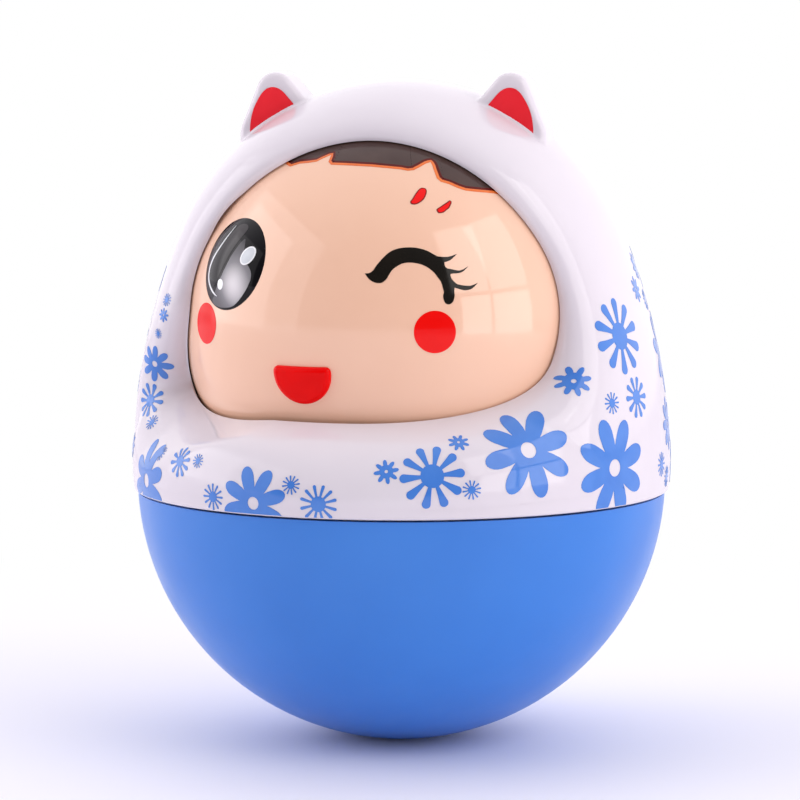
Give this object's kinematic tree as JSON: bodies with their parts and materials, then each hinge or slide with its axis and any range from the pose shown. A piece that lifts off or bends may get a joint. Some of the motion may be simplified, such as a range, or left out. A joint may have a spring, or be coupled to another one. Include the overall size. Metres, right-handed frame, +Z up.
{
  "type": "roly_poly_toy",
  "caption": "Nodding roly-poly doll: weighted round blue base, white hood with ears and blue daisies, ball head with a winking face, chime inside",
  "frame": {"origin": "bottom centre of the base, in the middle of the flat that the toy rests on", "axes": "+Z up, the doll faces -Y, +X is to the right as a viewer in front of the doll sees it"},
  "size_m": [0.105, 0.1048, 0.1296],
  "materials": {
    "blue_plastic": "semi-gloss moulded",
    "white_plastic": "high gloss, printed flowers",
    "red_plastic": "gloss moulded",
    "flesh_plastic": "high gloss, printed face",
    "brown_plastic": "gloss moulded",
    "black_plastic": "polished dome",
    "grey_plastic": "plain moulded",
    "nylon": "plain moulded",
    "ballast_iron": "as cast",
    "steel": "bright zinc",
    "brass": "turned"
  },
  "bodies": {
    "body": {"base_shell": "blue_plastic", "hood_shell": "white_plastic", "ear_lining_left": "red_plastic", "ear_lining_right": "red_plastic", "ballast_weight": "ballast_iron", "ballast_screws": "steel", "head_frame": "grey_plastic", "frame_screws": "steel", "head_axle": "steel", "axle_clips": "steel", "chime_bracket": "grey_plastic", "chime_screws": "steel", "chime_rods": "steel", "striker_pin": "steel"},
    "head": {"face_shell": "flesh_plastic", "head_back": "brown_plastic", "head_screws": "steel", "pivot_bush_left": "nylon", "pivot_bush_right": "nylon", "head_weight": "ballast_iron", "eye_dome": "black_plastic", "mouth_insert": "red_plastic"},
    "striker": {"striker_arm": "nylon", "striker_hammer": "brass"}
  },
  "joints": [
    {"name": "head_nod", "type": "hinge", "parent": "body", "child": "head", "pos_m": [0, 0, 0.08186], "axis": [1, 0, 0], "range_deg": [-10, 10]},
    {"name": "striker_swing", "type": "hinge", "parent": "body", "child": "striker", "pos_m": [0, 0, 0.02536], "axis": [0, 1, 0], "range_deg": [-10, 10]}
  ]
}
